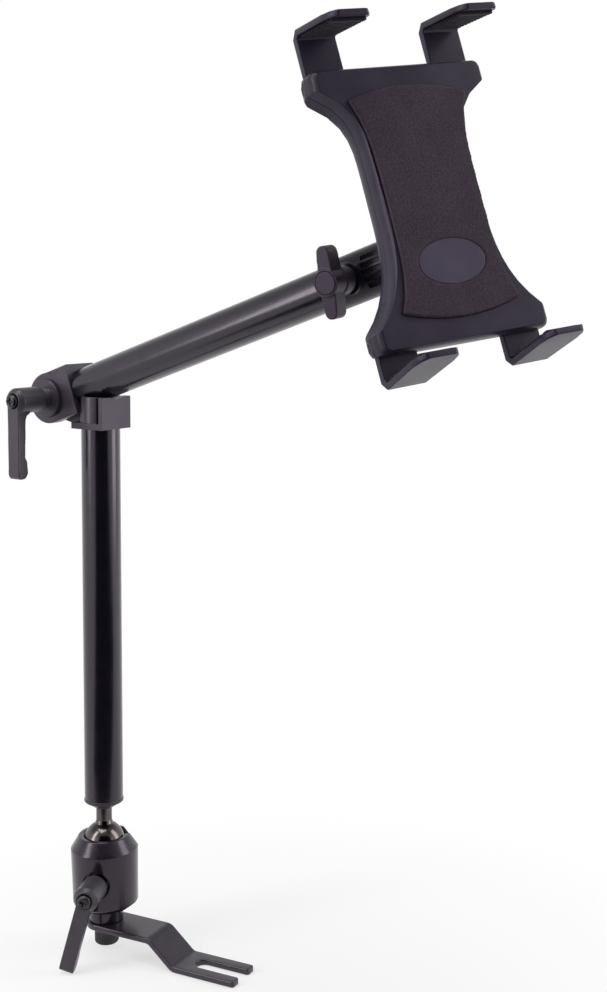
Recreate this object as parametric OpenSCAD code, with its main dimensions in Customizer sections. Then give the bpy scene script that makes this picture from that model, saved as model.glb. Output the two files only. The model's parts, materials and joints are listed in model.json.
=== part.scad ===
// Seat rail tablet mount: a bent fork strap that a seat bolt clamps, a slotted ball head,
// a round mast, a folding elbow, a round arm, a split ball clamp and a four-claw tablet holder.
// The origin is the centre of the fork slot's round end, on the underside of the fork.
// +X runs along the strap towards the prong tips and +Z points up.

/* [Seat bracket] */
// Width of the strap
strap_w = 26.5; // [24:0.5:32]
// Thickness of the strap
strap_t = 4; // [3:0.5:5]
// Width of the open slot between the prongs, for the seat bolt
slot_w = 11; // [9:0.5:12]
// Length of the prongs, from the slot's round end centre to the tips
prong_len = 30; // [22:1:40]
// Height of the strap's upper flange over the fork
strap_rise = 15; // [11:1:20]
// Slope of the ramp between the two flanges
ramp_angle = 40; // [30:1:50]
// Inner radius of both bends
bend_r = 4.5; // [3:0.5:6]
// Distance from the slot centre back to the ball head's axis
head_back = 77; // [74:1:90]

/* [Ball head] */
// Radius of the housing at its shoulder
housing_r = 22.3; // [21.5:0.1:24]
// Radius of the housing's top rim
rim_r = 16.85; // [16.2:0.05:17.5]
// Height of the shoulder over the strap
shoulder_h = 49.9; // [48:0.1:52]
// Height of the ball's centre over the strap
ball_h = 54; // [52.5:0.1:55]
// Radius of the polished ball
ball_r = 13.5; // [13:0.1:13.8]
// Radius of the polished stem
stem_r = 5.25; // [4.8:0.05:5.5]
// Radius of the neck that stands on the strap
neck_r = 11.4; // [10:0.1:12.5]
// Height of the clamp lever's axis over the strap
head_lever_h = 31; // [28:0.5:32]
// Turn of the side slot from the fork direction
side_slot_turn = 53; // [20:1:110]
// Turn of the clamp lever from the fork direction
head_lever_turn = -71; // [-100:1:-60]
// Lean of the mast towards the side slot
mast_lean = 1; // [0:0.5:6]

/* [Tubes] */
// Outer radius of both tubes
tube_r = 12.7; // [12:0.1:14]
// Wall of both tubes
tube_wall = 1.75; // [1.2:0.05:2.5]
// Length of the lower tube
mast_len = 247; // [150:1:350]
// Length of the upper tube
arm_len = 206; // [150:1:300]

/* [Elbow] */
// Turn of the arm from the fork direction
arm_turn = -6.5; // [-30:0.5:30]
// Rise of the arm over level
arm_rise = 18.9; // [17:0.1:22]
// Side of the square section of both knuckles
knuckle_w = 27.5; // [27:0.1:30]
// Height of the lower knuckle
knuckle_h = 21; // [20:0.5:23]
// Distance from the mast's axis back to the pivot
pivot_back = 34; // [33:0.5:38]
// Height of the pivot over the lower knuckle's underside
pivot_up = 18.7; // [17.5:0.1:20]
// Radius of the cheeks round the pivot
cheek_r = 16.6; // [15:0.1:17]
// Thickness of the tongue between the cheeks
tongue_t = 12; // [9:0.5:14]

/* [Levers] */
// Radius of the lever's hub
hub_r = 8.3; // [7.8:0.1:9]
// Length of the lever's hub
hub_len = 28.5; // [26:0.5:30]
// Length of the handle from the hub's axis to its end
handle_len = 50.5; // [42:0.5:60]
// Width of the handle
handle_w = 9.6; // [8:0.1:11]

/* [Ball clamp] */
// Radius of the ball behind the holder
joint_ball_r = 10.8; // [10:0.1:11.2]
// Outer radius of the clamp's two halves
clamp_r = 14.6; // [13.8:0.1:15]
// Distance from the tube's end to the wing knob's axis
knob_gap = 19; // [14:0.5:22]
// Distance from the wing knob's axis to the ball's centre
ball_gap = 32.5; // [32:0.5:44]
// Dip of the wing knob's axis under level
knob_dip = 6; // [0:1:15]
// Span of the wing knob
wing_span = 41; // [36:1:48]

/* [Tablet holder] */
// Turn of the holder from the arm
holder_turn = -26.7; // [-40:0.1:0]
// Tip of the holder forwards or back on its ball
holder_tip = 0.7; // [-10:0.1:10]
// Roll of the holder on its ball
holder_roll = -1; // [-10:0.1:10]
// Width of the holder's ends
holder_w = 109.5; // [100:0.5:125]
// Height of the holder's body
holder_h = 155; // [140:1:180]
// Width of the holder's waist
waist_w = 64; // [60:1:72]
// Thickness of the holder's body
holder_t = 18; // [17:0.5:22]
// Distance from the ball's centre to the holder's front face
ball_to_front = 40; // [39:0.5:46]
// Height of the holder's middle over the ball
holder_up = 20.3; // [0:0.1:30]
// Width of a claw's leg
leg_w = 24; // [20:0.5:28]
// Thickness of a claw's leg
leg_t = 4.6; // [3.6:0.1:5]
// Reach of the upper claws past the body
upper_reach = 27; // [8:1:40]
// Reach of the lower claws past the body
lower_reach = 18; // [8:1:40]
// Depth of a claw's foot
foot_depth = 46; // [35:1:55]
// Lean of a claw's foot towards the tablet
foot_lean = 10; // [4:0.5:14]

/* [Hidden] */
$fn = 96;
// Radial gap of a shaft in its bore
run_gap = 0.06;
// Gap between curved faces of pieces that move against each other
ball_fit = 0.1;
// Gap between faces that pass each other
slide_gap = 0.3;
// Overcut that takes a tool past a face
past = 1;

strap_top = strap_rise + strap_t;
prong_round = 2;
fork_flat = 14;
bolt_r = 5;

// Ball head heights, over the strap
neck_h = 9.5;
skirt_h = 13.8;
skirt_r = housing_r - 0.7;
rim_h = shoulder_h + 8.5;
bore_r = ball_r + ball_fit;
plug_r = bore_r - run_gap;
seat_floor_h = 20;
seat_top_h = ball_h - 8.5;
seat_base_h = seat_floor_h + slide_gap;
side_slot_w = 2 * stem_r + 2;
side_slot_drop = 5;
spot_r = hub_r + 0.9;
spot_at = housing_r - 5.5;
stud_r = 4;
wedge_at = 3;
wedge_slope = 0.5;
wedge_len = 6;

// Mast heights, over the ball's centre
cap_cone_h = 23.1;
cap_ring_h = 27.6;
cap_top_h = 29.6;
cap_r = tube_r + 0.3;
tube_bore_r = tube_r - tube_wall;
spigot_r = tube_bore_r - run_gap;
spigot_len = 18;
mast_top_h = cap_top_h + mast_len;
pivot_h = mast_top_h + pivot_up;

// Elbow, along the arm from the pivot
knuckle_half = knuckle_w / 2;
eye_r = 12.6;
flange_t = 4;
body_r = knuckle_half - 0.3;
arm_start = 22;
saddle_r = tube_r + 1.9;
washer_t = 3;
washer_r = 12.5;

// Lever pieces, out from the face that the lever stands on
collar_h = 5;
collar_r = 6.5;
shank_top = 15;
shank_r = 5;
flange_lo = shank_top + slide_gap;
flange_hi = flange_lo + 2;
lever_screw_r = 2;
spring_r = 4.2;
spring_wire = 0.8;
screw_head_r = 4.5;
screw_head_h = 5.4;
screw_head_at = hub_len - 2.9;
hub_round = 3;
handle_t = 7;

// Ball clamp, along the arm from the pivot
arm_end = arm_start + arm_len;
knob_at = arm_end + knob_gap;
ball_at = knob_at + ball_gap;
stub_r = 6.4;
stub_rim_r = 8.6;
stub_rim_t = 2.2;
plug_face_t = 2;
lip_t = 2;
half_gap = 1.2;
clamp_start = arm_end + plug_face_t + slide_gap;
rim_start = clamp_start + lip_t + slide_gap;
stub_end = rim_start + stub_rim_t;
clamp_end = ball_at + 6.5;
boss_r = 9.6;
boss_y = 15.2;
clamp_bolt_r = 3;
knob_boss_r = 8.4;
knob_hub_r = 7.6;
knob_cap_r = 6.4;
cap_sink = 1.2;
knob_base = boss_y + 1.5;
wing_y = knob_base + 8;
wing_t = 12;
knob_face = wing_y + wing_t;
rib_t = 1.6;
rib_pitch = 4.1;
rib_count = 5;
rib_depth = 1.2;
clamp_spring_r = 4.4;
spring_pocket = 11;

// Holder, out from the ball along the holder's normal
front_x = ball_to_front;
back_x = front_x - holder_t;
plate_t = 3.6;
plate_r = 20;
plate_x = back_x - plate_t;
half_h = holder_h / 2;
half_w = holder_w / 2;
beam_h = 11.5;
waist_up = 8;
skin_t = 2.4;
pad_t = 3.4;
pad_sink = 1;
pad_half_w = 37.5;
pad_waist = 29.6;
pad_half_h = 58.6;
pad_crown = 5.8;
oval_w = 42.6;
oval_h = 25;
oval_down = 34.5;
leg_x = front_x - 9.6;
split_x = leg_x + slide_gap;
foot_t = 3.6;
grip_t = 1.6;
claw_inset = 2.4;
end_hole_r = 3.2;
end_hole_sink = 1.2;
corner_r = 3.5;
bar_h = 10;
bar_sunk = 1;
tail_in = 2;
tail_out = 25;
tail_end = 42;
tail_mid = (tail_in + tail_out) / 2;
screw_up = 52;
screw_in = 30;
shell_screw_sink = 2;
heel = 5;

// Places of the assemblies

module on_head() {
    translate([-head_back, 0, strap_top]) children();
}

module on_ball() {
    on_head()
        translate([0, 0, ball_h])
            rotate([0, 0, side_slot_turn])
                rotate([0, mast_lean, 0])
                    rotate([0, 0, -side_slot_turn])
                        children();
}

module on_mast() {
    on_ball() rotate([0, 0, arm_turn]) children();
}

module on_arm() {
    on_mast()
        translate([-pivot_back, 0, pivot_h])
            rotate([0, -arm_rise, 0])
                children();
}

// Turns the clamp about the arm, so that its bolt dips
module on_clamp() {
    on_arm() rotate([knob_dip, 0, 0]) children();
}

module on_holder() {
    on_arm() translate([ball_at, 0, 0]) rotate([holder_roll, holder_tip, holder_turn]) children();
}

// Turns a lever's own frame, in which its axis is +Z, to stand out of the housing
module on_head_lever() {
    on_head()
        translate([0, 0, head_lever_h])
            rotate([0, 0, head_lever_turn])
                translate([spot_at, 0, 0])
                    rotate([0, 90, 0])
                        rotate([0, 0, -16.5])
                            children();
}

// Turns a lever's own frame to stand out of the elbow's near cheek
module on_elbow_lever() {
    on_mast()
        translate([-pivot_back, -knuckle_half - washer_t, pivot_h])
            rotate([90, 0, 0])
                rotate([0, 0, -90])
                    children();
}

// Tools that several pieces share

module along_x(length, radius) {
    rotate([0, 90, 0]) cylinder(h = length, r = radius);
}

module along_y(length, radius) {
    rotate([90, 0, 0]) cylinder(h = length, r = radius, center = true);
}

module rounded_plate(size_x, size_y, radius) {
    square([size_x - 2 * radius, size_y], center = true);
    square([size_x, size_y - 2 * radius], center = true);
    for (sx = [-1, 1], sy = [-1, 1]) {
        translate([sx * (size_x / 2 - radius), sy * (size_y / 2 - radius)]) circle(r = radius);
    }
}

// Seat bracket

function arc_points(cx, cz, radius, from, to, steps) =
    [for (i = [0:steps]) let (a = from + (to - from) * i / steps)
        [cx + radius * cos(a), cz + radius * sin(a)]];

ramp_drop = strap_rise - (2 * bend_r + strap_t) * (1 - cos(ramp_angle));
upper_bend_x = -fork_flat - (2 * bend_r + strap_t) * sin(ramp_angle)
    - ramp_drop / tan(ramp_angle);
strap_tail = head_back + strap_w / 2;

module strap_profile() {
    polygon(concat(
        [[prong_len, 0]],
        arc_points(-fork_flat, strap_t + bend_r, bend_r + strap_t, -90, -90 - ramp_angle, 8),
        arc_points(upper_bend_x, strap_rise - bend_r, bend_r, 90 - ramp_angle, 90, 8),
        [[-strap_tail, strap_rise], [-strap_tail, strap_top]],
        arc_points(upper_bend_x, strap_rise - bend_r, bend_r + strap_t, 90, 90 - ramp_angle, 8),
        arc_points(-fork_flat, strap_t + bend_r, bend_r, -90 - ramp_angle, -90, 8),
        [[prong_len, strap_t]]
    ));
}

module strap_plan() {
    prong_w = (strap_w - slot_w) / 2;
    difference() {
        union() {
            translate([-head_back, 0]) circle(d = strap_w);
            translate([-head_back, -strap_w / 2]) square([head_back, strap_w]);
            translate([-prong_round, -strap_w / 2]) square([prong_round + past, strap_w]);
            for (side = [-1, 1]) {
                translate([prong_len / 2, side * (slot_w + prong_w) / 2])
                    rounded_plate(prong_len, prong_w, prong_round);
                translate([0, side * (slot_w + prong_w) / 2 - prong_w / 2])
                    square([prong_len / 2, prong_w]);
            }
        }
        circle(d = slot_w);
        translate([0, -slot_w / 2]) square([prong_len + past, slot_w]);
    }
}

module bracket() {
    color("dimgray")
    difference() {
        intersection() {
            rotate([90, 0, 0])
                linear_extrude(height = strap_w, center = true) strap_profile();
            translate([0, 0, -past])
                linear_extrude(height = strap_top + 2 * past) strap_plan();
        }
        translate([-head_back, 0, strap_rise - past])
            cylinder(h = strap_t + 2 * past, r = bolt_r + 0.3);
    }
}

washer_drop = 2;
screw_head_drop = 10;
base_screw_in = 17;

module base_washer() {
    color("silver")
    on_head()
        translate([0, 0, -strap_t - washer_drop])
            difference() {
                cylinder(h = washer_drop, r = 9.2);
                translate([0, 0, -past]) cylinder(h = washer_drop + 2 * past, r = bolt_r + 0.2);
            }
}

// Socket screw with a knurled head: grooves run down the head's side
module base_screw() {
    head_r = 8;
    under = -strap_t - washer_drop;
    color("black")
    on_head() {
        difference() {
            union() {
                translate([0, 0, under - screw_head_drop + 1])
                    cylinder(h = screw_head_drop - 1, r = head_r);
                translate([0, 0, under - screw_head_drop]) cylinder(h = 1, r1 = head_r - 0.8, r2 = head_r);
                translate([0, 0, under - 0.5]) cylinder(h = base_screw_in - under, r = bolt_r);
            }
            translate([0, 0, under - screw_head_drop - past])
                cylinder(h = 5 + past, d = 8 / cos(30), $fn = 6);
            for (i = [0:23]) {
                rotate([0, 0, i * 15])
                    translate([head_r + 0.35, 0, under - screw_head_drop - past])
                        cylinder(h = screw_head_drop - 1, r = 0.8, $fn = 16);
            }
        }
    }
}

// Ball head

// Plug that closes the housing from below; its neck stands on the strap
module head_base() {
    color("#232325")
    on_head()
    difference() {
        rotate_extrude()
            polygon([
                [0, 0], [neck_r - 0.4, 0], [neck_r, 0.4], [neck_r, neck_h], [plug_r, neck_h],
                [plug_r, seat_floor_h - 0.5], [plug_r - 0.5, seat_floor_h], [0, seat_floor_h]
            ]);
        // Blind hole for the base screw
        translate([0, 0, -past]) cylinder(h = past + base_screw_in + 1, r = bolt_r + run_gap);
    }
}

module head_housing() {
    color("#1c1c1e")
    on_head()
    difference() {
        rotate_extrude()
            polygon([
                [0, neck_h], [skirt_r - 5, neck_h],
                [skirt_r - 0.3, skirt_h - 0.6], [skirt_r, skirt_h], [housing_r, shoulder_h - 0.3],
                [housing_r - 0.2, shoulder_h + 0.2], [rim_r + 0.3, rim_h - 0.4], [rim_r, rim_h], [0, rim_h]
            ]);
        // Bore for the plug and the seat, with the ball's round seat above it
        translate([0, 0, neck_h - past]) cylinder(h = ball_h - neck_h + past, r = bore_r);
        translate([0, 0, ball_h]) sphere(r = bore_r);
        translate([0, 0, rim_h - 1.2]) cylinder(h = 1.3, r1 = bore_r - 0.75, r2 = bore_r + 0.75);
        // Side slot, into which the stem folds down
        rotate([0, 0, side_slot_turn]) {
            translate([0, 0, ball_h - side_slot_drop]) along_x(housing_r + past, side_slot_w / 2);
            translate([0, -side_slot_w / 2, ball_h - side_slot_drop])
                cube([housing_r + past, side_slot_w, rim_h]);
        }
        // Lever hole with a turned recess round it
        translate([0, 0, head_lever_h])
            rotate([0, 0, head_lever_turn]) {
                translate([spot_at, 0, 0]) along_x(housing_r, spot_r);
                translate([bore_r - 2, 0, 0]) along_x(housing_r, stud_r + run_gap);
            }
    }
}

// Brass seat under the ball, with a slanted side pocket that the lever's tip drives up
module ball_seat() {
    color("#b08d57")
    on_head()
    difference() {
        translate([0, 0, seat_base_h]) cylinder(h = seat_top_h - seat_base_h, r = plug_r);
        translate([0, 0, ball_h]) sphere(r = bore_r);
        translate([0, 0, head_lever_h])
            rotate([0, 0, head_lever_turn])
                translate([wedge_at, 0, 0]) rotate([0, 90, 0])
                    cylinder(h = bore_r, r1 = 0, r2 = bore_r * wedge_slope);
    }
}

module ball_stem() {
    flare_h = 3.4;
    root = sqrt(ball_r * ball_r - stem_r * stem_r) - 1.2;
    color("#8c8c90")
    on_ball() {
        sphere(r = ball_r);
        translate([0, 0, root]) cylinder(h = flare_h, r1 = stem_r + 0.9, r2 = stem_r);
        translate([0, 0, root]) cylinder(h = cap_cone_h - root, r = stem_r);
        translate([0, 0, cap_cone_h - past]) cylinder(h = past + 18, r = bolt_r);
    }
}

module lower_end_cap() {
    color("#202022")
    on_ball()
    difference() {
        union() {
            translate([0, 0, cap_cone_h])
                cylinder(h = cap_ring_h - cap_cone_h, r1 = stem_r + 0.7, r2 = cap_r);
            translate([0, 0, cap_ring_h]) cylinder(h = cap_top_h - cap_ring_h, r = cap_r);
            translate([0, 0, cap_top_h - past]) cylinder(h = past + spigot_len, r = spigot_r);
        }
        translate([0, 0, cap_cone_h - past]) cylinder(h = past + 18.5, r = bolt_r + run_gap);
    }
}

module tube(length) {
    difference() {
        cylinder(h = length, r = tube_r);
        translate([0, 0, -past]) cylinder(h = length + 2 * past, r = tube_bore_r);
    }
}

module lower_tube() {
    color("#1a1a1c")
    on_mast() translate([0, 0, cap_top_h]) tube(mast_len);
}

// Elbow

module lower_knuckle() {
    slit_w = 2;
    color("#1e1e20")
    on_mast()
    translate([0, 0, mast_top_h])
    difference() {
        union() {
            difference() {
                union() {
                    linear_extrude(height = flange_t) rounded_plate(knuckle_w, knuckle_w, 1.2);
                    cylinder(h = knuckle_h, r = body_r);
                    // Flat wall under the arm, full height
                    translate([8.5, -knuckle_half, 0])
                        cube([knuckle_half - 8.5, knuckle_w, knuckle_h]);
                }
                // Room for the upper knuckle and for the arm's tube above
                arm_room();
                // Slit at the near corner of the wall
                translate([knuckle_half - 5, -knuckle_half - past, flange_t])
                    cube([slit_w, 6, knuckle_h]);
            }
            translate([0, 0, -spigot_len]) cylinder(h = spigot_len + past, r = spigot_r);
            tongue();
        }
        // Pivot bore in the tongue's eye
        translate([-pivot_back, 0, pivot_up]) along_y(tongue_t + 2 * past, stud_r + run_gap);
    }
}

// Room for the arm, and for the upper knuckle's sweep round the pivot
module arm_room() {
    below = cheek_r + 1.3;
    sweep_r = sqrt(arm_start * arm_start + cheek_r * cheek_r) + 0.5;
    translate([-pivot_back, 0, pivot_up])
        rotate([0, -arm_rise, 0]) {
            translate([-past, 0, 0]) along_x(knuckle_w * 3, saddle_r);
            intersection() {
                along_y(2 * knuckle_w, sweep_r);
                translate([-sweep_r, -knuckle_w, -below])
                    cube([2 * sweep_r, 2 * knuckle_w, below + sweep_r]);
            }
        }
}

module tongue() {
    translate([-pivot_back, 0, pivot_up]) along_y(tongue_t, eye_r);
    rotate([90, 0, 0])
        linear_extrude(height = tongue_t, center = true)
            polygon([
                [-pivot_back + eye_r * cos(-12), pivot_up + eye_r * sin(-12)],
                [-pivot_back, pivot_up - eye_r], [-8, 0], [0, 0], [0, 8], [-8, 8.6]
            ]);
}

// Clevis: two round-ended cheeks and a front wall with the tube's spigot
module upper_knuckle() {
    color("#1e1e20")
    on_arm()
    difference() {
        union() {
            along_y(knuckle_w, cheek_r);
            rotate([90, 0, 90])
                linear_extrude(height = arm_start) rounded_plate(knuckle_w, 2 * cheek_r, 1.6);
            translate([arm_start - past, 0, 0]) along_x(spigot_len + past, spigot_r);
        }
        // Gap between the cheeks, for the tongue to swing in
        clevis_gap();
        // Pivot bore through both cheeks
        along_y(knuckle_w + 2 * past, stud_r + run_gap);
        // Weight pocket in the spigot
        translate([arm_start, 0, 0]) along_x(spigot_len + past, spigot_r - 3);
    }
}

module clevis_gap() {
    gap_w = tongue_t + 2 * 0.05;
    reach = knuckle_w;
    along_y(gap_w, eye_r + 0.6);
    rotate([90, 0, 0])
        linear_extrude(height = gap_w, center = true)
            polygon([
                [-reach, reach], [eye_r * 0.75, reach], [eye_r + 0.6, 0], [eye_r + 0.6, -3.5],
                [arm_start - 1.5, -9.5], [arm_start + past, -knuckle_half + 1.2],
                [arm_start + past, -reach], [-reach, -reach]
            ]);
}

module elbow_washer() {
    color("#2a2a2c")
    on_mast()
        translate([-pivot_back, -knuckle_half - washer_t / 2, pivot_h])
            difference() {
                along_y(washer_t, washer_r);
                along_y(washer_t + 2 * past, stud_r + run_gap);
            }
}

// Clamp levers, each in its own frame: +Z points out along the lever's axis

module lever_stud(stud_in, tip_len) {
    tip_small_r = stud_r - tip_len * wedge_slope;
    color("#6f6f73")
    difference() {
        union() {
            cylinder(h = collar_h, r = collar_r);
            cylinder(h = shank_top, r = shank_r);
            translate([0, 0, -stud_in]) cylinder(h = stud_in + past, r = stud_r);
            translate([0, 0, -stud_in - tip_len]) cylinder(h = tip_len, r1 = tip_small_r, r2 = stud_r);
        }
        translate([0, 0, 5]) cylinder(h = shank_top, r = lever_screw_r + run_gap);
    }
}

module lever_handle() {
    hub_from = collar_h + slide_gap;
    under = hub_len - handle_t;
    color("#2b2b2e")
    difference() {
        union() {
            translate([0, 0, hub_from]) cylinder(h = 1, r1 = hub_r - 0.8, r2 = hub_r);
            translate([0, 0, hub_from + 1]) cylinder(h = hub_len - hub_from - 1 - hub_round, r = hub_r);
            translate([0, 0, hub_len - hub_round])
                cylinder(h = hub_round, r1 = hub_r, r2 = hub_r - 0.8 * hub_round);
            // Flat handle with a web at the hub and a thumb nub near its end
            rotate([90, 0, 0])
                linear_extrude(height = handle_w, center = true)
                    polygon([
                        [0, hub_len], [0, under - 4], [hub_r, under - 4], [hub_r + 1.2, under - 1.4],
                        [hub_r + 4, under], [handle_len - 14, under + 0.6], [handle_len - 11, under - 1],
                        [handle_len - 3, under - 1.4], [handle_len - 0.6, under + 0.4],
                        [handle_len, under + 2.4], [handle_len, hub_len - 2],
                        [handle_len - 1.6, hub_len - 0.4], [handle_len - 6, hub_len]
                    ]);
        }
        // Bores for the shank, the screw, and the spring with the screw's head
        cylinder(h = flange_lo, r = shank_r + run_gap);
        cylinder(h = hub_len + past, r = lever_screw_r + 0.6);
        translate([0, 0, flange_hi]) cylinder(h = hub_len, r = screw_head_r + 0.3);
    }
}

module lever_spring() {
    turns = 4;
    pitch = (screw_head_at - flange_hi) / turns;
    color("silver")
    difference() {
        translate([0, 0, flange_hi]) cylinder(h = screw_head_at - flange_hi, r = spring_r);
        translate([0, 0, flange_hi - past])
            cylinder(h = turns * pitch + 2 * past, r = spring_r - spring_wire);
        // Grooves round the outside mark the turns
        for (i = [0:turns - 2]) {
            translate([0, 0, flange_hi + (i + 0.75) * pitch])
                difference() {
                    cylinder(h = pitch * 0.5, r = spring_r + past);
                    translate([0, 0, -past]) cylinder(h = pitch + past, r = spring_r - spring_wire / 2);
                }
        }
    }
}

module lever_screw() {
    head_round = 1.2;
    color("#55555a")
    difference() {
        union() {
            translate([0, 0, 6]) cylinder(h = screw_head_at - 6 + past, r = lever_screw_r);
            translate([0, 0, screw_head_at]) cylinder(h = screw_head_h - head_round, r = screw_head_r);
            translate([0, 0, screw_head_at + screw_head_h - head_round])
                cylinder(h = head_round, r1 = screw_head_r, r2 = screw_head_r - head_round);
        }
        for (turn = [0, 90]) {
            rotate([0, 0, turn])
                translate([-2.4, -0.5, screw_head_at + screw_head_h - 1.4]) cube([4.8, 1, 2]);
        }
    }
}

module head_lever_stud() {
    tip_at = wedge_at + (stud_r + run_gap) / wedge_slope - wedge_len;
    on_head_lever() lever_stud(spot_at - tip_at - wedge_len, wedge_len);
}

module head_lever_handle() {
    on_head_lever() lever_handle();
}

module head_lever_spring() {
    on_head_lever() lever_spring();
}

module head_lever_screw() {
    on_head_lever() lever_screw();
}

module elbow_lever_stud() {
    on_elbow_lever() lever_stud(washer_t + knuckle_w - 2, 1.5);
}

module elbow_lever_handle() {
    on_elbow_lever() lever_handle();
}

module elbow_lever_spring() {
    on_elbow_lever() lever_spring();
}

module elbow_lever_screw() {
    on_elbow_lever() lever_screw();
}

// Arm and ball clamp

module upper_tube() {
    color("#1a1a1c")
    on_arm() translate([arm_start, 0, 0]) rotate([0, 90, 0]) tube(arm_len);
}

// Plug in the tube's end, with a rimmed stub that the clamp's halves close on
module clamp_plug() {
    color("#222224")
    on_arm() {
        translate([arm_end - spigot_len, 0, 0]) along_x(spigot_len + past, spigot_r);
        translate([arm_end, 0, 0]) along_x(plug_face_t, tube_r);
        translate([arm_end + past, 0, 0]) along_x(stub_end - arm_end - past, stub_r);
        translate([rim_start, 0, 0]) along_x(stub_rim_t, stub_rim_r);
    }
}

clamp_len = clamp_end - clamp_start;

// One half of the split clamp, on the far side of the parting plane
module clamp_half() {
    flat = half_gap / 2;
    rib_from = knob_at + boss_r + 1.5;
    difference() {
        union() {
            intersection() {
                union() {
                    translate([clamp_start, 0, 0]) along_x(clamp_len - 2, clamp_r);
                    translate([clamp_end - 2, 0, 0]) rotate([0, 90, 0])
                        cylinder(h = 2, r = clamp_r);
                }
                translate([clamp_start - past, flat, -boss_y])
                    cube([clamp_len + 2 * past, boss_y, 2 * boss_y]);
            }
            // Round boss for the bolt
            translate([knob_at, (boss_y + flat) / 2, 0]) along_y(boss_y - flat, boss_r);
        }
        // Seat for the stub and its rim
        translate([clamp_start - past, 0, 0]) along_x(lip_t + 3 * past, stub_r + run_gap);
        translate([rim_start - slide_gap, 0, 0]) along_x(stub_rim_t + 2 * slide_gap, stub_rim_r + run_gap);
        // Seat for the ball, opened towards the holder
        translate([ball_at, 0, 0]) sphere(r = joint_ball_r + ball_fit);
        translate([ball_at + 3, 0, 0]) rotate([0, 90, 0])
            cylinder(h = 8, r1 = joint_ball_r - 0.5, r2 = joint_ball_r + 4);
        // Bolt hole, and the pocket for the spring that parts the halves
        translate([knob_at, 0, 0]) along_y(4 * boss_y, clamp_bolt_r + slide_gap);
        translate([knob_at, 0, 0]) along_y(spring_pocket, clamp_spring_r + 0.5);
        // Cored pockets leave ribs along the arm
        for (i = [0:rib_count - 1]) {
            z = (i - (rib_count - 1) / 2) * rib_pitch;
            y_out = sqrt(clamp_r * clamp_r - z * z);
            translate([rib_from, y_out - rib_depth, z - (rib_pitch - rib_t) / 2])
                cube([clamp_end - rib_from - 4, 2 * rib_depth, rib_pitch - rib_t]);
        }
    }
}

module near_clamp_half() {
    color("#222225")
    on_clamp() mirror([0, 1, 0]) clamp_half();
}

module far_clamp_half() {
    color("#222225")
    on_clamp() clamp_half();
}

// Hex-headed bolt through both halves and into the knob
module clamp_bolt() {
    head_t = 4;
    color("#77777b")
    on_clamp()
    translate([knob_at, 0, 0]) {
        translate([0, (boss_y - knob_face + 5) / 2, 0]) along_y(boss_y + knob_face - 5, clamp_bolt_r);
        translate([0, boss_y + head_t / 2, 0])
            rotate([90, 0, 0]) cylinder(h = head_t, d = 11.5, center = true, $fn = 6);
    }
}

module clamp_spring() {
    spring_len = spring_pocket - 0.4;
    color("silver")
    on_clamp()
    translate([knob_at, 0, 0])
    difference() {
        along_y(spring_len, clamp_spring_r);
        along_y(spring_len + 2 * past, clamp_spring_r - spring_wire);
        for (i = [-2:2]) {
            translate([0, i * 2, 0])
                difference() {
                    along_y(1, clamp_spring_r + past);
                    along_y(2, clamp_spring_r - spring_wire / 2);
                }
        }
    }
}

module knob_washer() {
    color("silver")
    on_clamp()
    translate([knob_at, -boss_y - 0.75, 0])
        difference() {
            along_y(1.5, 7.5);
            along_y(3, clamp_bolt_r + 0.2);
        }
}

// Knob in its own frame: +Z points out along the bolt
module on_knob() {
    on_clamp() translate([knob_at, 0, 0]) rotate([90, 0, 0]) rotate([0, 0, 90 - 12]) children();
}

module wing_knob() {
    tip_r = 4;
    root_r = 5.2;
    color("#3a3a3d")
    on_knob()
    difference() {
        union() {
            // Neck, hub with the ring round its cap, and two wings
            translate([0, 0, knob_base]) cylinder(h = 1, r1 = knob_boss_r - 0.8, r2 = knob_boss_r);
            translate([0, 0, knob_base + 1]) cylinder(h = wing_y - knob_base, r = knob_boss_r);
            translate([0, 0, wing_y]) cylinder(h = wing_t, r = knob_hub_r);
            for (side = [-1, 1]) {
                hull() {
                    translate([0, 0, wing_y]) cylinder(h = wing_t - 1, r = root_r, $fn = 32);
                    translate([side * (wing_span / 2 - tip_r), 0, wing_y + 0.6])
                        cylinder(h = wing_t - 1.8, r = tip_r, $fn = 32);
                }
            }
        }
        translate([0, 0, knob_base - past])
            cylinder(h = knob_face - 4 - knob_base + past, r = clamp_bolt_r + run_gap);
        translate([0, 0, knob_face - cap_sink]) cylinder(h = cap_sink + past, r = knob_cap_r + 0.1);
    }
}

module knob_cap() {
    color("#4a4a4e")
    on_knob()
        translate([0, 0, knob_face - cap_sink]) cylinder(h = cap_sink + 0.2, r = knob_cap_r);
}

module holder_ball() {
    neck_r2 = 5.4;
    root = sqrt(joint_ball_r * joint_ball_r - neck_r2 * neck_r2) - 0.8;
    color("#303033")
    on_holder() {
        sphere(r = joint_ball_r);
        translate([root, 0, 0]) rotate([0, 90, 0]) cylinder(h = 1.6, r1 = neck_r2 + 0.6, r2 = neck_r2);
        translate([root, 0, 0]) along_x(plate_x - root, neck_r2);
        translate([plate_x - past, 0, 0]) along_x(past + plate_t, 4);
    }
}

// Tablet holder, in its own frame: +X points out of the front and +Z up the body

module on_body() {
    on_holder() translate([0, 0, holder_up]) children();
}

module back_plate() {
    color("#262629")
    on_holder()
    difference() {
        union() {
            translate([plate_x, 0, 0]) along_x(plate_t, plate_r);
            translate([plate_x - 1.4, 0, 0]) rotate([0, 90, 0]) cylinder(h = 1.4, r1 = 9.4, r2 = 10);
        }
        translate([plate_x - 2 * past, 0, 0]) along_x(plate_t + 3 * past, 4 + run_gap);
        translate([plate_x - 1.4 - past, 0, 0]) along_x(past + 1.4, 5.4 + run_gap);
        plate_holes(1.6 + run_gap);
    }
}

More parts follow.
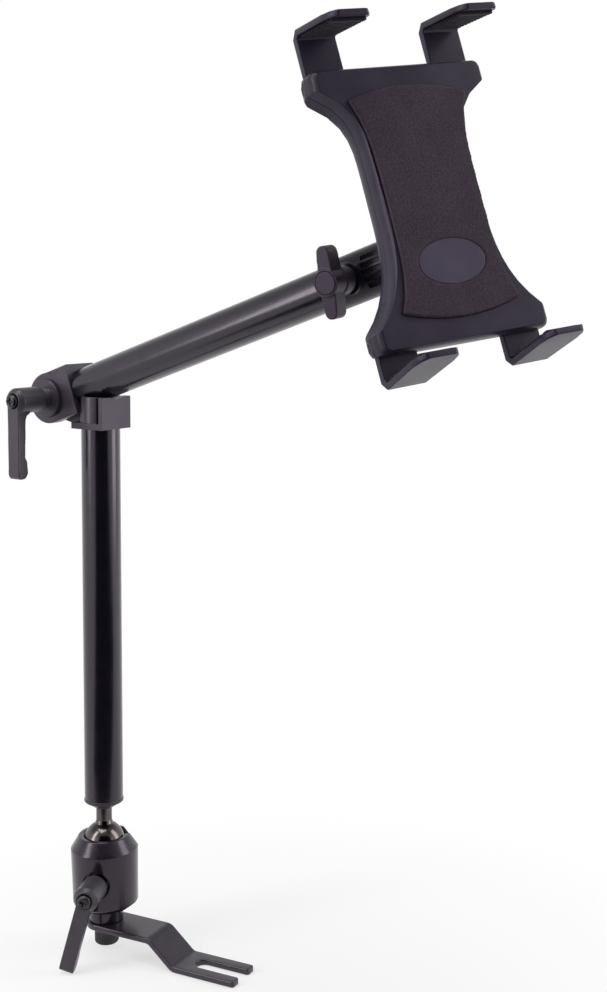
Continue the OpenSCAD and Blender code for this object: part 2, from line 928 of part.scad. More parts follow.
module plate_holes(radius) {
    for (turn = [45:90:315]) {
        rotate([turn, 0, 0]) translate([plate_x - 3, 0, 15]) along_x(plate_t + 9, radius);
    }
}

module plate_screws() {
    color("silver")
    on_holder()
    for (turn = [45:90:315]) {
        rotate([turn, 0, 0]) translate([plate_x, 0, 15]) {
            along_x(plate_t + skin_t - 0.2, 1.6);
            translate([-1.6, 0, 0]) rotate([0, 90, 0]) cylinder(h = 1.6, r1 = 2.2, r2 = 3);
        }
    }
}

// Half width of the body at height z
function body_half_w(z) =
    let (u = (z - waist_up) / (z > waist_up ? half_h - beam_h - waist_up : half_h - beam_h + waist_up))
    waist_w / 2 + (half_w - waist_w / 2) * pow(abs(u), z > waist_up ? 5 : 3.6);

body_steps = 18;
body_side = [for (i = [0:body_steps]) let (z = -half_h + beam_h + (holder_h - 2 * beam_h) * i / body_steps)
    [body_half_w(z), z]];

module body_outline() {
    corner = [[0, corner_r], [0.3 * corner_r, 0.3 * corner_r], [corner_r, 0]];
    upper = [for (c = corner) [half_w - c[0], half_h - c[1]]];
    lower = [for (i = [2:-1:0]) [half_w - corner[i][0], -half_h + corner[i][1]]];
    right = concat(lower, body_side, upper);
    polygon(concat(right, [for (i = [len(right) - 1:-1:0]) [-right[i][0], right[i][1]]]));
}

// Places a flat outline, drawn with X across and Y up, at depth x facing the front
module at_depth(x) {
    translate([x, 0, 0]) rotate([90, 0, 90]) children();
}

// Back half of the holder's body, its edge rounded in a steep step and then a flat one
module rear_shell() {
    steep_h = 3.4;
    steep_in = [0.975, 0.985];
    flat_h = 1.6;
    flat_in = [0.965, 0.975];
    wall_h = split_x - back_x - steep_h - flat_h;
    color("#232326")
    on_body()
    difference() {
        union() {
            at_depth(back_x + steep_h + flat_h)
                linear_extrude(height = wall_h) body_outline();
            at_depth(back_x + steep_h + flat_h) mirror([0, 0, 1])
                linear_extrude(height = steep_h, scale = steep_in, slices = 1) body_outline();
            at_depth(back_x + flat_h) mirror([0, 0, 1])
                linear_extrude(height = flat_h, scale = flat_in, slices = 1)
                    scale(steep_in) body_outline();
        }
        difference() {
            body_cavity(back_x + skin_t, split_x + past);
            // Rib between the two sliding tails
            translate([back_x, -tail_in + slide_gap, -screw_up])
                cube([split_x - back_x, 2 * (tail_in - slide_gap), 2 * screw_up]);
        }
        claw_slots();
        translate([0, 0, -holder_up]) plate_holes(1.6 + run_gap);
        for (sy = [-1, 1], sz = [-1, 1]) {
            // Round recess in each end of the two beams
            translate([(back_x + split_x) / 2, sy * half_w, sz * (half_h - beam_h / 2)])
                along_y(2 * end_hole_sink, end_hole_r);
            translate([back_x - past, sy * screw_in, sz * screw_up])
                along_x(past + shell_screw_sink, 3.1);
            translate([back_x - past, sy * screw_in, sz * screw_up]) along_x(20, 1.5 + run_gap);
        }
    }
}

// Front half of the holder's body, with the shallow bed for the pad
module front_shell() {
    steep_h = 2.6;
    steep_in = [0.98, 0.992];
    flat_h = 1.6;
    flat_in = [0.97, 0.985];
    wall_h = front_x - split_x - steep_h - flat_h;
    color("#26262a")
    on_body()
    difference() {
        union() {
            at_depth(split_x)
                linear_extrude(height = wall_h) body_outline();
            at_depth(front_x - steep_h - flat_h)
                linear_extrude(height = steep_h, scale = steep_in, slices = 1) body_outline();
            at_depth(front_x - flat_h)
                linear_extrude(height = flat_h, scale = flat_in, slices = 1)
                    scale(steep_in) body_outline();
        }
        difference() {
            body_cavity(split_x - past, front_x - skin_t - pad_sink);
            // Ribs that keep the sliding tails down
            for (side = [-1, 1]) {
                translate([split_x, side * tail_mid - 0.8, -half_h]) cube([holder_t, 1.6, holder_h]);
            }
        }
        at_depth(front_x - pad_sink) linear_extrude(height = 2 * pad_sink) pad_outline(0.15);
        for (sy = [-1, 1], sz = [-1, 1]) {
            translate([split_x - past, sy * screw_in, sz * screw_up]) along_x(5, 1.5 + run_gap);
        }
    }
}

// Hollow of the closed body, where the tails of the claws run
module body_cavity(x_from, x_to) {
    cavity_half = tail_out + slide_gap;
    translate([x_from, -cavity_half, -half_h + 6])
        cube([x_to - x_from, 2 * cavity_half, holder_h - 12]);
}

// Slot through each end, from which a pair of claws slides out with its bar
module claw_slots() {
    slot_half = half_w - claw_inset + slide_gap;
    slot_h = bar_h + bar_sunk + slide_gap;
    for (up = [-1, 1]) {
        translate([leg_x - leg_t - slide_gap, -slot_half, up > 0 ? half_h - slot_h : -half_h - past])
            cube([leg_t + 3 * slide_gap, 2 * slot_half, slot_h + past]);
    }
}

function pad_half(z) = pad_waist + (pad_half_w - pad_waist) * pow(abs(z) / pad_half_h, 4);

module pad_outline(grow) {
    steps = 12;
    side = [for (i = [0:steps])
        let (z = -pad_half_h + 2 * pad_half_h * i / steps)
        [pad_half(z) + grow, z]];
    top = [for (i = [1:7])
        let (u = 1 - i / 4)
        [u * pad_half_w, pad_half_h + grow + pad_crown * (1 - u * u)]];
    polygon(concat(
        side, top,
        [for (i = [steps:-1:0]) [-side[i][0], side[i][1]]],
        [for (p = top) [-p[0], -p[1]]]
    ));
}

module oval(grow) {
    steps = 48;
    polygon([for (i = [0:steps - 1]) let (a = 360 * i / steps)
        [(oval_w / 2 + grow) * cos(a), (oval_h / 2 + grow) * sin(a)]]);
}

module grip_pad() {
    color("#303034")
    on_body()
    difference() {
        at_depth(front_x - pad_sink) linear_extrude(height = pad_t) pad_outline(0);
        translate([0, 0, -oval_down])
            at_depth(front_x - pad_sink + pad_t - 1.2) linear_extrude(height = 2) oval(0.2);
    }
}

module pad_badge() {
    color("#2c2c30")
    on_body()
        translate([0, 0, -oval_down])
            at_depth(front_x - pad_sink + pad_t - 1.2) linear_extrude(height = 1) oval(0);
}

// Side outline of a claw that points up: leg, chamfered heel and leaning foot
module claw_profile(leg_len) {
    inner_s = (leg_t + foot_t * sin(foot_lean)) / cos(foot_lean);
    polygon([
        [0, -leg_len], [0, -heel], [heel, -heel * tan(foot_lean)],
        [foot_depth * cos(foot_lean), -foot_depth * sin(foot_lean)],
        [foot_depth * cos(foot_lean) - foot_t * sin(foot_lean),
            -foot_depth * sin(foot_lean) - foot_t * cos(foot_lean)],
        [leg_t + 2, -(inner_s + 2) * sin(foot_lean) - foot_t * cos(foot_lean)],
        [leg_t, -inner_s * sin(foot_lean) - foot_t * cos(foot_lean) - 2],
        [leg_t, -leg_len]
    ]);
}

// Outline of a claw seen along its leg: the foot widens, then narrows to its tip
module claw_plan() {
    tip_w = leg_w - 8;
    mirror_pair = [[-past, leg_w / 2], [foot_depth - 12, leg_w / 2 + 1.2], [foot_depth - 5, leg_w / 2],
        [foot_depth - 1.5, tip_w / 2 + 1.5], [foot_depth, tip_w / 2 - 1]];
    polygon(concat(
        mirror_pair,
        [for (i = [len(mirror_pair) - 1:-1:0]) [mirror_pair[i][0], -mirror_pair[i][1]]]
    ));
}

module claw(reach) {
    leg_len = reach + bar_h + bar_sunk;
    intersection() {
        rotate([90, 0, 0]) linear_extrude(height = 2 * leg_w, center = true) claw_profile(leg_len);
        translate([0, 0, -leg_len - past]) linear_extrude(height = leg_len + 2 * past) claw_plan();
    }
}

claw_y = half_w - claw_inset - leg_w / 2;

// Two claws on one bar, with a tail that slides in the body; drawn for the upper end
module claw_pair(reach) {
    translate([leg_x - leg_t, 0, 0]) {
        for (side = [-1, 1]) {
            translate([0, side * claw_y, half_h + reach]) claw(reach);
        }
        translate([0, -claw_y, half_h - bar_sunk - bar_h]) cube([leg_t, 2 * claw_y, bar_h]);
        translate([0, tail_in, -tail_end])
            cube([leg_t, tail_out - tail_in, tail_end + half_h - bar_sunk - bar_h + past]);
    }
}

// Turns a part of the upper end half a turn about the body's normal
module to_lower_end() {
    rotate([180, 0, 0]) children();
}

module upper_claws() {
    color("#252528") on_body() claw_pair(upper_reach);
}

module lower_claws() {
    color("#252528") on_body() to_lower_end() claw_pair(lower_reach);
}

// Ribbed rubber grip on the foot's inner face, drawn for the upper end
module foot_grip(side, reach) {
    grip_len = foot_depth - leg_t - 9;
    groove_pitch = 3;
    groove_count = floor(grip_len / groove_pitch) - 1;
    translate([leg_x - leg_t, side * claw_y, half_h + reach])
        rotate([0, foot_lean, 0])
            translate([leg_t + 4, 0, -foot_t - grip_t])
                difference() {
                    translate([0, -leg_w / 2 + 1.5, 0]) cube([grip_len, leg_w - 3, grip_t]);
                    for (i = [1:groove_count]) {
                        translate([i * groove_pitch, -leg_w, -past])
                            cube([1.2, 2 * leg_w, past + 0.9]);
                    }
                }
}

module upper_left_grip() {
    color("#3a3a3e") on_body() foot_grip(-1, upper_reach);
}

module upper_right_grip() {
    color("#3a3a3e") on_body() foot_grip(1, upper_reach);
}

module lower_left_grip() {
    color("#3a3a3e") on_body() to_lower_end() foot_grip(1, lower_reach);
}

module lower_right_grip() {
    color("#3a3a3e") on_body() to_lower_end() foot_grip(-1, lower_reach);
}

// Bowed strip that presses on a tail, so that the claws stay where they are pulled
module drag_spring() {
    strip_t = 0.5;
    floor_x = back_x + skin_t;
    top_x = leg_x - leg_t;
    translate([0, tail_mid + 4, 34])
        rotate([90, 0, 0])
            linear_extrude(height = 8)
                polygon([
                    [floor_x, -16], [floor_x, -8], [top_x - strip_t, -3], [top_x - strip_t, 3],
                    [floor_x, 8], [floor_x, 16], [floor_x + strip_t, 16], [floor_x + strip_t, 8.4],
                    [top_x, 3.4], [top_x, -3.4], [floor_x + strip_t, -8.4], [floor_x + strip_t, -16]
                ]);
}

module upper_drag_spring() {
    color("silver") on_body() drag_spring();
}

module lower_drag_spring() {
    color("silver") on_body() to_lower_end() drag_spring();
}

module shell_screws() {
    color("silver")
    on_body()
    for (sy = [-1, 1], sz = [-1, 1]) {
        translate([back_x + shell_screw_sink - 1.6, sy * screw_in, sz * screw_up]) {
            along_x(1.6, 2.9);
            along_x(11, 1.5);
        }
    }
}

bracket();
base_screw();
base_washer();
head_base();
head_housing();
ball_seat();
head_lever_stud();
head_lever_handle();
head_lever_spring();
head_lever_screw();
ball_stem();
lower_end_cap();
lower_tube();
lower_knuckle();
upper_knuckle();
elbow_washer();
elbow_lever_stud();
elbow_lever_handle();
elbow_lever_spring();
elbow_lever_screw();
upper_tube();
clamp_plug();
near_clamp_half();
far_clamp_half();
clamp_bolt();
clamp_spring();
knob_washer();
wing_knob();
knob_cap();
holder_ball();
back_plate();
plate_screws();
rear_shell();
front_shell();
grip_pad();
pad_badge();
upper_claws();
lower_claws();
upper_left_grip();
upper_right_grip();
lower_left_grip();
lower_right_grip();
upper_drag_spring();
lower_drag_spring();
shell_screws();
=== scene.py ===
"""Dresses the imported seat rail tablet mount: finishes for every metal, plastic and rubber part,
softly edged claws, levers, knob and holder shells, and a plain pale studio."""

import json
import math

import bmesh
import bpy
from mathutils import Euler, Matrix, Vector
from mathutils.bvhtree import BVHTree


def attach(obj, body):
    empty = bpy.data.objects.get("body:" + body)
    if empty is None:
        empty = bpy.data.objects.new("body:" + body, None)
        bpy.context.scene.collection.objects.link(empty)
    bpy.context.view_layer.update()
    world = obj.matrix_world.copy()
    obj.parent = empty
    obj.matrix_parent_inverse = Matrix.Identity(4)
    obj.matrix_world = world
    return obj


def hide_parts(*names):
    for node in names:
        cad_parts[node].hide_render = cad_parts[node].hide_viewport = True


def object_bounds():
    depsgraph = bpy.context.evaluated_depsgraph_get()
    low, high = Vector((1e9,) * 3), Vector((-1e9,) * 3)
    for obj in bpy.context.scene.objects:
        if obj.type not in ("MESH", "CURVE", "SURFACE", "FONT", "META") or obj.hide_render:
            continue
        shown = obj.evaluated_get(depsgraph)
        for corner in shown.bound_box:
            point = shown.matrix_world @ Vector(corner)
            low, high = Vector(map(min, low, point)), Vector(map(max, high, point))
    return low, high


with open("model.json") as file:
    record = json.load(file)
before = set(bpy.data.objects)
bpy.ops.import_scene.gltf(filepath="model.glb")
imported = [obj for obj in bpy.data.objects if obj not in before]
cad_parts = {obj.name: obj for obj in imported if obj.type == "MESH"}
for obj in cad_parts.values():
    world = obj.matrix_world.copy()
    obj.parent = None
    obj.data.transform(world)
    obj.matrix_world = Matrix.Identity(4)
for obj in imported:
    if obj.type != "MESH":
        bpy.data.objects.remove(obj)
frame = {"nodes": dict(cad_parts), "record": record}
cad_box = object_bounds()
MM = 0.001
NODES = frame["nodes"]
SLOTS = {part["node"]: part["material_slot"] for part in frame["record"]["subparts"]}
BODY_OF = {node: body for body, members in frame["record"]["behaviour"]["bodies"].items()
           for node in members}


def mesh_from(bm, name):
    mesh = bpy.data.meshes.new(name)
    bm.to_mesh(mesh)
    bm.free()
    return mesh


def in_scene(data, name):
    """A new object of the scene that holds the mesh, lamp or camera."""
    made = bpy.data.objects.new(name, data)
    bpy.context.scene.collection.objects.link(made)
    return made


# Shader expressions

VIOLET_CAST = (0.97, 0.84, 1.0, 1.0)  # the slight tint that black dyes and paints mirror


class Socket:
    """A node's output that takes part in Python arithmetic, each step adding a Math node."""

    def __init__(self, tree, output):
        self.tree = tree
        self.output = output

    def _math(self, operation, *values):
        node = self.tree.nodes.new("ShaderNodeMath")
        node.operation = operation
        for slot, value in zip(node.inputs, values):
            plug(self.tree, slot, value)
        return Socket(self.tree, node.outputs[0])

    def __add__(self, other):
        return self._math("ADD", self, other)

    __radd__ = __add__

    def __sub__(self, other):
        return self._math("SUBTRACT", self, other)

    def __rsub__(self, other):
        return self._math("SUBTRACT", other, self)

    def __mul__(self, other):
        return self._math("MULTIPLY", self, other)

    __rmul__ = __mul__

    def clamped(self):
        """The value kept between 0 and 1."""
        above_zero = self._math("MAXIMUM", self, 0.0)
        return self._math("MINIMUM", above_zero, 1.0)

    def swing(self, span):
        """A value from 0 to 1 made to swing about zero, by the span from end to end."""
        return (self - 0.5) * span


def plug(tree, slot, value):
    """Links a Socket to a node's input, or sets the input to a plain value."""
    if isinstance(value, Socket):
        tree.links.new(value.output, slot)
    else:
        slot.default_value = value


class Finish:
    """One named surface finish: a Principled material and the nodes that vary over it."""

    def __init__(self, name, **shader_values):
        self.material = bpy.data.materials.new(name)
        self.material.use_nodes = True
        self.tree = self.material.node_tree
        self.tree.nodes.clear()
        self.shader = self.tree.nodes.new("ShaderNodeBsdfPrincipled")
        self.surface = self.tree.nodes.new("ShaderNodeOutputMaterial").inputs["Surface"]
        self.tree.links.new(self.shader.outputs[0], self.surface)
        for socket, value in shader_values.items():
            self.shader.inputs[socket.replace("_", " ")].default_value = value
        if not shader_values.get("Metallic"):
            self.shader.inputs["Specular Tint"].default_value = VIOLET_CAST
        self.place = self.node("ShaderNodeTexCoord", output="Object")

    def node(self, kind, settings=None, output=0, **values):
        """Adds a node. Each value goes to the input of that name, or of that number after an i."""
        made = self.tree.nodes.new(kind)
        for key, value in (settings or {}).items():
            setattr(made, key, value)
        for socket, value in values.items():
            numbered = socket[0] == "i" and socket[1:].isdigit()
            slot = int(socket[1:]) if numbered else socket.replace("_", " ")
            plug(self.tree, made.inputs[slot], value)
        return Socket(self.tree, made.outputs[output])

    def feed(self, socket, value):
        self.tree.links.new(value.output, self.shader.inputs[socket])

    def noise(self, size_mm, detail=3.0, roughness=0.5, stretch=(1, 1, 1)):
        place = self.node("ShaderNodeMapping", Vector=self.place, Scale=stretch)
        return self.node("ShaderNodeTexNoise", output="Fac", Vector=place,
                         Scale=1.0 / (size_mm * MM), Detail=detail, Roughness=roughness)

    def grains(self, size_mm):
        return self.node("ShaderNodeTexVoronoi", output="Distance", Vector=self.place,
                         Scale=1.0 / (size_mm * MM))

    def between(self, dark, light, factor):
        return self.node("ShaderNodeMix", {"data_type": "RGBA"}, output=2,
                         i0=factor, i6=(*dark, 1.0), i7=(*light, 1.0))

    def bump(self, height, strength, depth_mm):
        self.feed("Normal", self.node("ShaderNodeBump", Height=height, Strength=strength,
                                      Distance=depth_mm * MM))


def coated_metal(name, dark, light, rough, coat, gloss):
    """Sprayed or anodised metal: cloudy shade, fine orange peel and worn, shinier patches."""
    finish = Finish(name, Coat_Weight=coat, Coat_Roughness=0.18, IOR=1.5,
                    Specular_IOR_Level=gloss)
    cloud = finish.noise(size_mm=9.0)
    peel = finish.noise(size_mm=0.9, detail=2.0)
    finish.feed("Base Color", finish.between(dark, light, cloud))
    finish.feed("Roughness", (rough + cloud.swing(0.16)).clamped())
    finish.bump(peel, strength=0.12, depth_mm=0.05)
    return finish.material


def bare_metal(name, dark, light, rough):
    """Turned or drawn metal with fine marks and a slightly uneven plating."""
    finish = Finish(name, Metallic=1.0)
    marks = finish.noise(size_mm=0.35, detail=2.0, stretch=(1, 1, 6))
    cloud = finish.noise(size_mm=4.0)
    finish.feed("Base Color", finish.between(dark, light, cloud))
    finish.feed("Roughness", (rough + marks.swing(0.2)).clamped())
    finish.bump(marks, strength=0.1, depth_mm=0.02)
    return finish.material


def moulded_plastic(name, dark, light, rough, grain_mm, depth_mm):
    """Injection-moulded plastic with a spark-eroded grain and faint flow clouds."""
    finish = Finish(name, IOR=1.46, Specular_IOR_Level=0.28)
    grain = finish.noise(grain_mm, detail=2.0)
    cloud = finish.noise(size_mm=22.0)
    finish.feed("Base Color", finish.between(dark, light, cloud))
    finish.feed("Roughness", (rough + cloud.swing(0.14) + grain.swing(0.1)).clamped())
    finish.bump(grain, strength=0.35, depth_mm=depth_mm)
    return finish.material


def soft_rubber(name, dark, light, speck_mm, depth_mm):
    """Closed foam rubber: matt, with light specks on a darker ground and a pebbled surface."""
    contrast, dark_share, rough = 1.6, 0.45, 0.72
    finish = Finish(name, Sheen_Weight=0.05, Sheen_Roughness=0.6, IOR=1.42,
                    Specular_IOR_Level=0.12)
    specks = finish.noise(speck_mm, detail=4.0, roughness=0.7)
    pores = finish.grains(speck_mm * 0.8)
    mottle = finish.noise(size_mm=16.0)
    shade = (specks * contrast - dark_share + mottle.swing(0.35)).clamped()
    finish.feed("Base Color", finish.between(dark, light, shade))
    finish.feed("Roughness", (rough + specks.swing(0.3)).clamped())
    finish.bump(pores * 0.5 + specks, strength=0.5, depth_mm=depth_mm)
    return finish.material


FINISHES = {
    "bracket_paint": coated_metal(
        "powder_coated_strap", dark=(0.009, 0.007, 0.011), light=(0.026, 0.022, 0.031),
        rough=0.32, coat=0.3, gloss=0.5),
    "head_finish": coated_metal(
        "anodised_ball_head", dark=(0.006, 0.003, 0.008), light=(0.016, 0.010, 0.019),
        rough=0.24, coat=0.3, gloss=0.4),
    "tube_finish": coated_metal(
        "gloss_black_tube", dark=(0.003, 0.003, 0.006), light=(0.007, 0.006, 0.011),
        rough=0.22, coat=0.35, gloss=0.5),
    "fitting_finish": coated_metal(
        "painted_knuckle", dark=(0.018, 0.014, 0.022), light=(0.048, 0.040, 0.055),
        rough=0.36, coat=0.2, gloss=0.4),
    "lever_finish": coated_metal(
        "grey_coated_lever", dark=(0.026, 0.023, 0.029), light=(0.058, 0.053, 0.063),
        rough=0.40, coat=0.1, gloss=0.4),
    "dark_steel": bare_metal(
        "blackened_steel", dark=(0.035, 0.034, 0.036), light=(0.080, 0.078, 0.082), rough=0.38),
    "bright_steel": bare_metal(
        "zinc_plated_steel", dark=(0.42, 0.42, 0.43), light=(0.62, 0.62, 0.60), rough=0.30),
    "ball_finish": bare_metal(
        "polished_ball", dark=(0.07, 0.06, 0.06), light=(0.16, 0.14, 0.14), rough=0.18),
    "seat_brass": bare_metal(
        "turned_brass", dark=(0.52, 0.36, 0.14), light=(0.66, 0.48, 0.22), rough=0.32),
    "clamp_plastic": moulded_plastic(
        "clamp_nylon", dark=(0.003, 0.003, 0.006), light=(0.009, 0.008, 0.012),
        rough=0.26, grain_mm=0.6, depth_mm=0.04),
    "knob_plastic": moulded_plastic(
        "knob_nylon", dark=(0.020, 0.014, 0.024), light=(0.046, 0.036, 0.053),
        rough=0.42, grain_mm=0.5, depth_mm=0.04),
    "shell_plastic": moulded_plastic(
        "holder_plastic", dark=(0.013, 0.010, 0.021), light=(0.034, 0.028, 0.046),
        rough=0.34, grain_mm=0.45, depth_mm=0.05),
    "pad_rubber": soft_rubber(
        "pad_foam", dark=(0.020, 0.012, 0.020), light=(0.088, 0.066, 0.090),
        speck_mm=0.9, depth_mm=0.12),
    "grip_rubber": soft_rubber(
        "grip_rubber", dark=(0.010, 0.008, 0.013), light=(0.034, 0.029, 0.039),
        speck_mm=0.6, depth_mm=0.06),
}
BADGE_FINISH = moulded_plastic(
    "smooth_badge", dark=(0.040, 0.032, 0.056), light=(0.066, 0.056, 0.088),
    rough=0.34, grain_mm=0.6, depth_mm=0.03)

for node, slot in SLOTS.items():
    mesh = NODES[node].data
    mesh.materials.clear()
    mesh.materials.append(FINISHES[slot])


# Visible pieces: the solids again, with the small rounds that moulds, dies and paint leave

MERGE_MM = 0.002  # corners nearer than this become one
FLAT_DEG = 0.6  # faces that meet below this angle become one
SHARP_DEG = 28  # edges above this angle get a round
SMOOTH_DEG = 35  # edges below this angle are shaded over
STRAY_SHARE = 0.6  # corners farther off the solid than this share of the round come back

ROUNDS_MM = {
    "bracket": 0.8, "base_screw": 0.11, "base_washer": 0.3, "head_base": 0.3, "head_housing": 0.3,
    "lower_end_cap": 0.4, "lower_knuckle": 0.2, "upper_knuckle": 0.3, "elbow_washer": 0.5,
    "head_lever_screw": 0.35, "elbow_lever_screw": 0.35, "near_clamp_half": 0.2,
    "far_clamp_half": 0.2, "clamp_bolt": 0.4, "knob_cap": 0.4, "back_plate": 0.4,
    "rear_shell": 0.5, "front_shell": 0.35, "upper_claws": 0.8, "lower_claws": 0.8,
    "upper_left_grip": 0.3, "upper_right_grip": 0.3, "lower_left_grip": 0.3,
    "lower_right_grip": 0.3,
}


def as_piece(bm, node, smooth_below=SMOOTH_DEG, finish=None):
    """Makes a finished piece that stands for the node, rides with it and has its finish."""
    mesh = mesh_from(bm, node + "_finished")
    mesh.materials.append(finish or FINISHES[SLOTS[node]])
    mesh.shade_smooth()
    mesh.set_sharp_from_angle(angle=math.radians(smooth_below))
    piece = in_scene(mesh, node + "_finished")
    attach(piece, BODY_OF[node])
    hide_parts(node)
    return piece


def merged_copy(node):
    bm = bmesh.new()
    bm.from_mesh(NODES[node].data)
    bmesh.ops.remove_doubles(bm, verts=bm.verts, dist=MERGE_MM * MM)
    return bm


def rounded(node, width_mm, finish=None):
    """The node's solid with every sharp edge rounded over by the width."""
    width = width_mm * MM
    bm = merged_copy(node)
    solid = BVHTree.FromBMesh(bm)
    bmesh.ops.dissolve_limit(bm, angle_limit=math.radians(FLAT_DEG), verts=bm.verts,
                             edges=bm.edges)
    edges = [edge for edge in bm.edges
             if edge.is_manifold and edge.calc_face_angle() > math.radians(SHARP_DEG)]
    bmesh.ops.bevel(bm, geom=edges, offset=width, offset_type="OFFSET", segments=2, profile=0.5,
                    affect="EDGES", clamp_overlap=False, loop_slide=True, material=-1)
    bmesh.ops.triangulate(bm, faces=bm.faces)
    # Where a face is too small for its rounds, what strays comes back onto the solid
    for vertex in bm.verts:
        spot, _, _, distance = solid.find_nearest(vertex.co)
        if distance > STRAY_SHARE * width:
            vertex.co = spot
    piece = as_piece(bm, node, finish=finish)
    flat = piece.modifiers.new("flat_faces", "WEIGHTED_NORMAL")
    flat.keep_sharp = True
    return piece


def eased(node, voxel_mm, passes):
    """The node's solid with all its edges drawn round, as die casting and foam have them."""
    piece = as_piece(merged_copy(node), node, smooth_below=180)
    remesh = piece.modifiers.new("even_skin", "REMESH")
    remesh.mode = "VOXEL"
    remesh.voxel_size = voxel_mm * MM
    ease = piece.modifiers.new("ease", "SMOOTH")
    ease.iterations = passes
    ease.factor = 0.5
    graph = bpy.context.evaluated_depsgraph_get()
    soft = bpy.data.meshes.new_from_object(piece.evaluated_get(graph))
    piece.modifiers.clear()
    soft.materials.clear()
    soft.materials.append(FINISHES[SLOTS[node]])
    soft.shade_smooth()
    piece.data = soft
    return piece


for node, width_mm in ROUNDS_MM.items():
    rounded(node, width_mm)
for node in ("head_lever_handle", "elbow_lever_handle", "wing_knob"):
    eased(node, voxel_mm=0.4, passes=8)
rounded("pad_badge", width_mm=0.4, finish=BADGE_FINISH)

# The stuck-on foam pad, its rim and the badge's recess drawn round
eased("grip_pad", voxel_mm=0.7, passes=4)


# Studio, in metres and watts

FLOOR_GAP = 0.2 * MM  # from the strap down to the floor
SOFTBOXES = {  # place, width and height, power
    "key_softbox": ((-0.75, -1.05, 0.85), (0.35, 1.4), 9),
    "right_softbox": ((1.05, 0.55, 0.7), (0.5, 1.4), 8),
    "top_softbox": ((-0.1, -0.35, 1.6), (0.9, 0.9), 10),
}


def seen_or_mirrored(tree):
    """1 for rays from the camera, off gloss and through glass; 0 for the light that falls."""
    rays = tree.nodes.new("ShaderNodeLightPath")
    camera, glossy, through = (Socket(tree, rays.outputs[f"Is {kind} Ray"])
                               for kind in ("Camera", "Glossy", "Transmission"))
    return (camera + glossy + through).clamped()


def studio_floor(level, centre):
    """A white floor that keeps the object's shadow near it and is plain white farther out."""
    white_at_centre, whiter_per_metre = 0.45, 1.6
    bm = bmesh.new()
    bmesh.ops.create_grid(bm, x_segments=1, y_segments=1, size=6.0)
    floor = in_scene(mesh_from(bm, "studio_floor"), "studio_floor")
    floor.location = (0, 0, level)
    finish = Finish("white_floor", Roughness=0.9, Base_Color=(0.86, 0.86, 0.86, 1.0))
    away = finish.node("ShaderNodeVectorMath", {"operation": "DISTANCE"}, output="Value",
                       i0=finish.place, i1=centre)
    plain = (seen_or_mirrored(finish.tree)
             * (away * whiter_per_metre + white_at_centre).clamped())
    shaded = Socket(finish.tree, finish.shader.outputs[0])
    glow = finish.node("ShaderNodeEmission")
    mixed = finish.node("ShaderNodeMixShader", i0=plain, i1=shaded, i2=glow)
    finish.tree.links.new(mixed.output, finish.surface)
    floor.data.materials.append(finish.material)


def studio_world(strength):
    """White round about, in view and in gloss, under a dark ceiling. What falls as light has
    the given strength."""
    ceiling_height, ceiling_edge = 0.72, 2.4
    world = bpy.data.worlds.new("studio_world")
    world.use_nodes = True
    tree = world.node_tree
    background = tree.nodes["Background"]
    background.inputs["Color"].default_value = (1, 1, 1, 1)
    way = tree.nodes.new("ShaderNodeSeparateXYZ")
    tree.links.new(tree.nodes.new("ShaderNodeTexCoord").outputs["Generated"], way.inputs[0])
    height = Socket(tree, way.outputs["Z"])
    below_ceiling = ((ceiling_height - height) * ceiling_edge).clamped()
    lit = seen_or_mirrored(tree) * below_ceiling * (1.0 - strength) + strength
    tree.links.new(lit.output, background.inputs["Strength"])
    bpy.context.scene.world = world


def black_flag(name, corners):
    """A black studio cloth that only gloss sees: it darkens what the tubes and paint mirror."""
    bm = bmesh.new()
    bm.faces.new([bm.verts.new(corner) for corner in corners])
    flag = in_scene(mesh_from(bm, name), name)
    finish = Finish(name, Roughness=1.0, Base_Color=(0.004, 0.004, 0.004, 1.0),
                    Specular_IOR_Level=0.0)
    flag.data.materials.append(finish.material)
    flag.visible_camera = flag.visible_diffuse = flag.visible_shadow = False


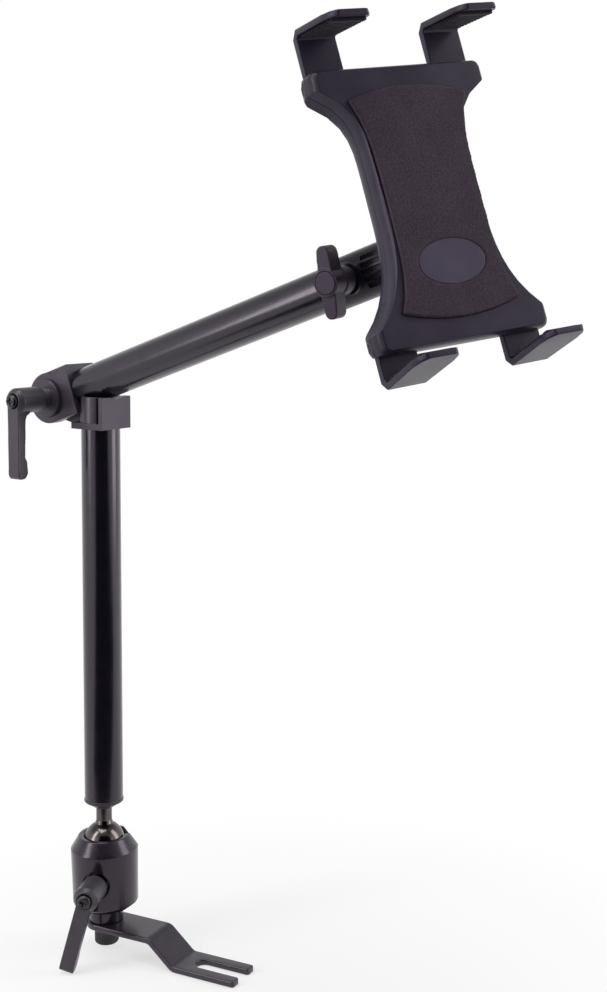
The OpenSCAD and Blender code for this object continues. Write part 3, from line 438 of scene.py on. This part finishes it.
def front_flags(floor_z, camera_foot, ahead):
    """Black cloth on the floor before the object and standing behind the camera."""
    left = Vector((-ahead.y, ahead.x, 0))
    lift = Vector((0, 0, floor_z + 0.004))
    rise = Vector((0, 0, 2.2))
    near = camera_foot + ahead * 0.74 + lift
    near_left, near_right = near + left * 0.45, near - left * 0.75
    far = camera_foot - ahead * 1.3 + lift
    far_left, far_right = far + left * 1.3, far - left * 2.2
    black_flag("floor_flag", [near_left, near_right, far_right, far_left])
    black_flag("back_flag", [far_left, far_right, far_right + rise, far_left + rise])


def softbox(name, place, target, size, power):
    """A rectangular soft lamp at place, turned to face target."""
    lamp = bpy.data.lights.new(name, "AREA")
    lamp.shape = "RECTANGLE"
    lamp.size, lamp.size_y = size
    lamp.energy = power
    box = in_scene(lamp, name)
    box.location = place
    box.rotation_euler = (target - Vector(place)).to_track_quat("-Z", "Y").to_euler()


def photo_camera():
    """The photograph's view: solved from the tubes, the strap and the holder's corners."""
    height_px, focal_px, centre_px = 992, 1465.8, 402.3
    place_mm = (495.53, -768.32, 453.05)
    turn_deg = (84.684, 0.74, 28.412)
    lens = bpy.data.cameras.new("photo_camera")
    lens.sensor_fit = "VERTICAL"
    lens.sensor_height = 24.0
    lens.lens = focal_px / height_px * lens.sensor_height
    lens.shift_y = (centre_px - height_px / 2) / height_px
    camera = in_scene(lens, "photo_camera")
    camera.location = Vector(place_mm) * MM
    camera.rotation_euler = Euler([math.radians(angle) for angle in turn_deg], "XYZ")
    bpy.context.scene.camera = camera
    return camera


def on_ground(spot):
    return Vector((spot.x, spot.y, 0.0))


bpy.context.scene.view_settings.view_transform = "Standard"
camera_foot = on_ground(photo_camera().location)
low, high = (Vector(corner) for corner in cad_box)
middle = (low + high) / 2
floor_z = low.z - FLOOR_GAP
studio_floor(floor_z, on_ground(middle))
studio_world(strength=0.35)
front_flags(floor_z, camera_foot, (on_ground(middle) - camera_foot).normalized())
for name, (place, size, power) in SOFTBOXES.items():
    softbox(name, place, middle, size, power)
